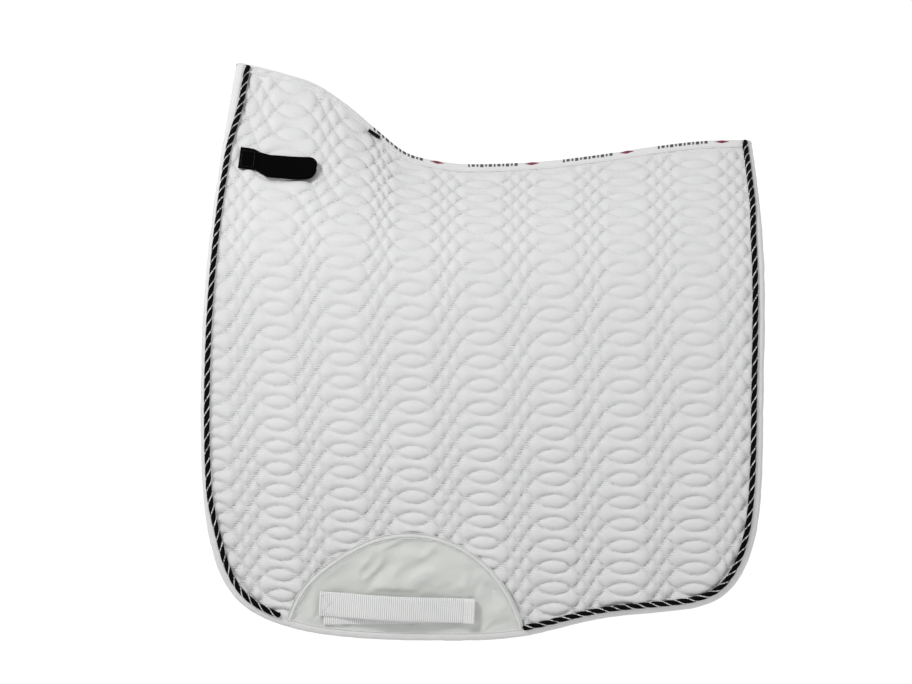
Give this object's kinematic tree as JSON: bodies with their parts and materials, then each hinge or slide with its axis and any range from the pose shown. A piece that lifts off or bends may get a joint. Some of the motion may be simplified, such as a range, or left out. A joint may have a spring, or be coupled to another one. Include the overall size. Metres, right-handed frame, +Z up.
{
  "type": "saddle pad",
  "caption": "White quilted saddle pad for the back of a horse, with cord-trimmed edges, girth straps and hook-and-loop saddle tabs.",
  "frame": {"origin": "underside of the spine tape in the dip behind the withers", "axes": "+X towards the horse's tail, +Z up, the horse's left side towards -Y"},
  "size_m": [0.6683, 0.287, 0.6864],
  "materials": {
    "quilt": "white quilted cotton, fine plain weave",
    "wadding": "lofty white polyester wadding",
    "lining": "white brushed cotton lining",
    "binding": "white satin-faced binding tape",
    "cord": "black twisted cord with a thin silver yarn",
    "patch": "off-white smooth hard-wearing cloth",
    "webbing": "white ribbed webbing",
    "black_webbing": "black webbing",
    "hook_loop": "white hook and loop fastener",
    "black_hook_loop": "black hook and loop fastener",
    "woven_label": "black woven label, blank"
  },
  "bodies": {
    "back_arch": {"spine_tape_outer": "binding", "spine_tape_inner": "binding", "spine_label": "woven_label", "left_face_arch": "quilt", "left_wadding_arch": "wadding", "left_lining_arch": "lining", "left_front_binding_arch": "binding", "left_rear_binding_arch": "binding", "left_front_cord_arch": "cord", "left_rear_cord_arch": "cord", "left_tab_base": "black_webbing", "left_tab_loop": "black_hook_loop", "right_face_arch": "quilt", "right_wadding_arch": "wadding", "right_lining_arch": "lining", "right_front_binding_arch": "binding", "right_rear_binding_arch": "binding", "right_front_cord_arch": "cord", "right_rear_cord_arch": "cord", "right_tab_base": "black_webbing", "right_tab_loop": "black_hook_loop"},
    "left_flap": {"left_face_flap": "quilt", "left_wadding_flap": "wadding", "left_lining_flap": "lining", "left_binding_flap": "binding", "left_front_cord_flap": "cord", "left_rear_cord_flap": "cord", "left_girth_patch": "patch", "left_girth_patch_tape": "binding", "left_girth_strap_base": "webbing", "left_girth_strap_end": "webbing", "left_girth_strap_loop": "hook_loop"},
    "left_girth_strap": {"left_girth_strap_flap": "webbing", "left_girth_strap_hook": "hook_loop"},
    "left_tab": {"left_tab_tongue": "black_webbing", "left_tab_hook": "black_hook_loop"},
    "right_flap": {"right_face_flap": "quilt", "right_wadding_flap": "wadding", "right_lining_flap": "lining", "right_binding_flap": "binding", "right_front_cord_flap": "cord", "right_rear_cord_flap": "cord", "right_girth_patch": "patch", "right_girth_patch_tape": "binding", "right_girth_strap_base": "webbing", "right_girth_strap_end": "webbing", "right_girth_strap_loop": "hook_loop"},
    "right_girth_strap": {"right_girth_strap_flap": "webbing", "right_girth_strap_hook": "hook_loop"},
    "right_tab": {"right_tab_tongue": "black_webbing", "right_tab_hook": "black_hook_loop"}
  },
  "joints": [
    {"name": "left_flap_fold", "type": "hinge", "parent": "back_arch", "child": "left_flap", "pos_m": [0, -0.135, -0.16], "axis": [-1, 0, 0], "range_deg": [-4, 70]},
    {"name": "left_girth_strap_open", "type": "hinge", "parent": "left_flap", "child": "left_girth_strap", "pos_m": [-0.16662, -0.08961, -0.5108], "axis": [-0.0332, 0.2847, -0.958], "range_deg": [0, 120]},
    {"name": "left_tab_open", "type": "hinge", "parent": "back_arch", "child": "left_tab", "pos_m": [-0.26405, -0.07837, 0.01755], "axis": [-0.1048, -0.5486, -0.8295], "range_deg": [0, 150]},
    {"name": "right_flap_fold", "type": "hinge", "parent": "back_arch", "child": "right_flap", "pos_m": [0, 0.135, -0.16], "axis": [1, 0, 0], "range_deg": [-4, 70]},
    {"name": "right_girth_strap_open", "type": "hinge", "parent": "right_flap", "child": "right_girth_strap", "pos_m": [-0.16662, 0.08961, -0.5108], "axis": [0.0332, 0.2847, 0.958], "range_deg": [0, 120]},
    {"name": "right_tab_open", "type": "hinge", "parent": "back_arch", "child": "right_tab", "pos_m": [-0.26405, 0.07837, 0.01755], "axis": [0.1048, -0.5486, 0.8295], "range_deg": [0, 150]}
  ]
}
